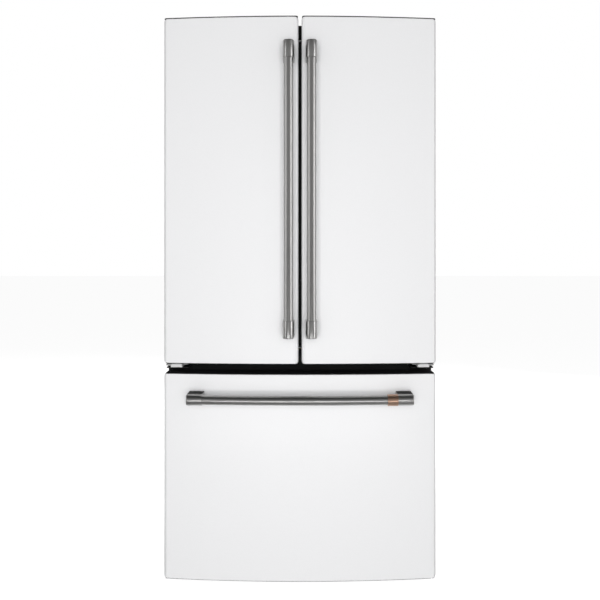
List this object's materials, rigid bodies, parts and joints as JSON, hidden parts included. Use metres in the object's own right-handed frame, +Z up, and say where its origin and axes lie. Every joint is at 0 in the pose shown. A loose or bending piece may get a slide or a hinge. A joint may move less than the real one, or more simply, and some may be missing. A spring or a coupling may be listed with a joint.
{
  "type": "french door refrigerator",
  "caption": "Free-standing refrigerator with two bowed side-hinged doors above a pull-out freezer drawer, with tubular handles.",
  "frame": {"origin": "centre of the overall box at floor level", "axes": "+Z up, the doors face -Y, +X is to the right of a person who faces the doors"},
  "size_m": [0.832, 0.804, 1.775],
  "materials": {
    "door_paint": "matte white, very fine texture",
    "case_paint": "textured dark grey",
    "frame_black": "satin black",
    "brushed_stainless": "brushed along the bar",
    "brushed_copper": "brushed copper",
    "zinc_steel": "zinc plated",
    "hinge_block": "light grey moulding",
    "liner_white": "satin white",
    "seal_grey": "soft grey",
    "clear_plastic": "clear",
    "shelf_glass": "tempered, clear",
    "foam": "rigid foam",
    "black_plastic": "fine grained",
    "fin_aluminium": "mill"
  },
  "bodies": {
    "cabinet": {"outer_case": "case_paint", "back_panel": "case_paint", "insulation_foam": "foam", "fridge_liner": "liner_white", "freezer_liner": "liner_white", "front_frame": "frame_black", "base_chassis": "zinc_steel", "toe_grille": "black_plastic", "top_hinge_left": "zinc_steel", "top_hinge_right": "zinc_steel", "hinge_cover_left": "black_plastic", "hinge_cover_right": "black_plastic", "mid_hinge_left": "hinge_block", "mid_hinge_right": "hinge_block", "shelf_left": "shelf_glass", "shelf_right": "shelf_glass", "shelf_full": "shelf_glass", "crisper_cover": "shelf_glass", "evaporator_cover": "liner_white", "evaporator_coil": "fin_aluminium", "compressor_and_condenser": "black_plastic", "machine_cover": "black_plastic", "rail_outer_left": "zinc_steel", "rail_outer_right": "zinc_steel"},
    "left_door": {"left_door_panel": "door_paint", "left_door_liner": "liner_white", "left_door_gasket": "seal_grey", "left_handle_bar": "brushed_stainless", "left_handle_bracket_top": "brushed_stainless", "left_handle_bracket_bottom": "brushed_stainless", "left_bin_upper": "clear_plastic", "left_bin_middle": "clear_plastic", "left_bin_lower": "clear_plastic"},
    "right_door": {"right_door_panel": "door_paint", "right_door_liner": "liner_white", "right_door_gasket": "seal_grey", "right_handle_bar": "brushed_stainless", "right_handle_bracket_top": "brushed_stainless", "right_handle_bracket_bottom": "brushed_stainless", "right_bin_upper": "clear_plastic", "right_bin_middle": "clear_plastic", "right_bin_lower": "clear_plastic"},
    "mullion_flap": {"mullion": "black_plastic"},
    "freezer_drawer": {"drawer_panel": "door_paint", "drawer_liner": "liner_white", "drawer_gasket": "seal_grey", "drawer_handle_bar": "brushed_stainless", "drawer_handle_bracket_left": "brushed_stainless", "drawer_handle_bracket_right": "brushed_stainless", "drawer_handle_ring": "brushed_copper", "freezer_basket_lower": "clear_plastic"},
    "freezer_rails": {"rail_mid_pair": "zinc_steel"},
    "upper_basket": {"freezer_basket_upper": "clear_plastic"},
    "crisper_drawer_left": {"crisper_left": "clear_plastic"},
    "crisper_drawer_right": {"crisper_right": "clear_plastic"},
    "left_leg": {"leveling_leg_left": "black_plastic"},
    "right_leg": {"leveling_leg_right": "black_plastic"},
    "left_roller": {"rear_roller_left": "black_plastic"},
    "right_roller": {"rear_roller_right": "black_plastic"},
    "fan": {"condenser_fan": "black_plastic"}
  },
  "joints": [
    {"name": "left_door_hinge", "type": "hinge", "parent": "cabinet", "child": "left_door", "pos_m": [-0.392, -0.263, 0.696], "axis": [0, 0, -1], "range_deg": [0, 120]},
    {"name": "right_door_hinge", "type": "hinge", "parent": "cabinet", "child": "right_door", "pos_m": [0.392, -0.263, 0.696], "axis": [0, 0, 1], "range_deg": [0, 120]},
    {"name": "mullion_hinge", "type": "hinge", "parent": "left_door", "child": "mullion_flap", "pos_m": [-0.03, -0.2, 1.2], "axis": [0, 0, 1], "range_deg": [0, 90]},
    {"name": "freezer_drawer_slide", "type": "slide", "parent": "cabinet", "child": "freezer_drawer", "axis": [0, -1, 0], "range_m": [0, 0.42]},
    {"name": "freezer_rails_slide", "type": "slide", "parent": "cabinet", "child": "freezer_rails", "axis": [0, -1, 0], "range_m": [0, 0.21]},
    {"name": "upper_basket_slide", "type": "slide", "parent": "freezer_drawer", "child": "upper_basket", "axis": [0, 1, 0], "range_m": [0, 0.23]},
    {"name": "crisper_left_slide", "type": "slide", "parent": "cabinet", "child": "crisper_drawer_left", "axis": [0, -1, 0], "range_m": [0, 0.13]},
    {"name": "crisper_right_slide", "type": "slide", "parent": "cabinet", "child": "crisper_drawer_right", "axis": [0, -1, 0], "range_m": [0, 0.13]},
    {"name": "leveling_leg_left_screw", "type": "slide", "parent": "cabinet", "child": "left_leg", "axis": [0, 0, -1], "range_m": [0, 0.012]},
    {"name": "leveling_leg_right_screw", "type": "slide", "parent": "cabinet", "child": "right_leg", "axis": [0, 0, -1], "range_m": [0, 0.012]},
    {"name": "rear_roller_left_spin", "type": "hinge", "parent": "cabinet", "child": "left_roller", "pos_m": [-0.3835, 0.34, 0.025], "axis": [1, 0, 0], "continuous": true},
    {"name": "rear_roller_right_spin", "type": "hinge", "parent": "cabinet", "child": "right_roller", "pos_m": [0.3835, 0.34, 0.025], "axis": [1, 0, 0], "continuous": true},
    {"name": "condenser_fan_spin", "type": "hinge", "parent": "cabinet", "child": "fan", "pos_m": [-0.018, 0.29, 0.13], "axis": [1, 0, 0], "continuous": true}
  ],
  "couplings": [
    {"joint": "mullion_hinge", "follows": "left_door_hinge", "ratio": 0.75},
    {"joint": "freezer_rails_slide", "follows": "freezer_drawer_slide", "ratio": 0.5}
  ]
}
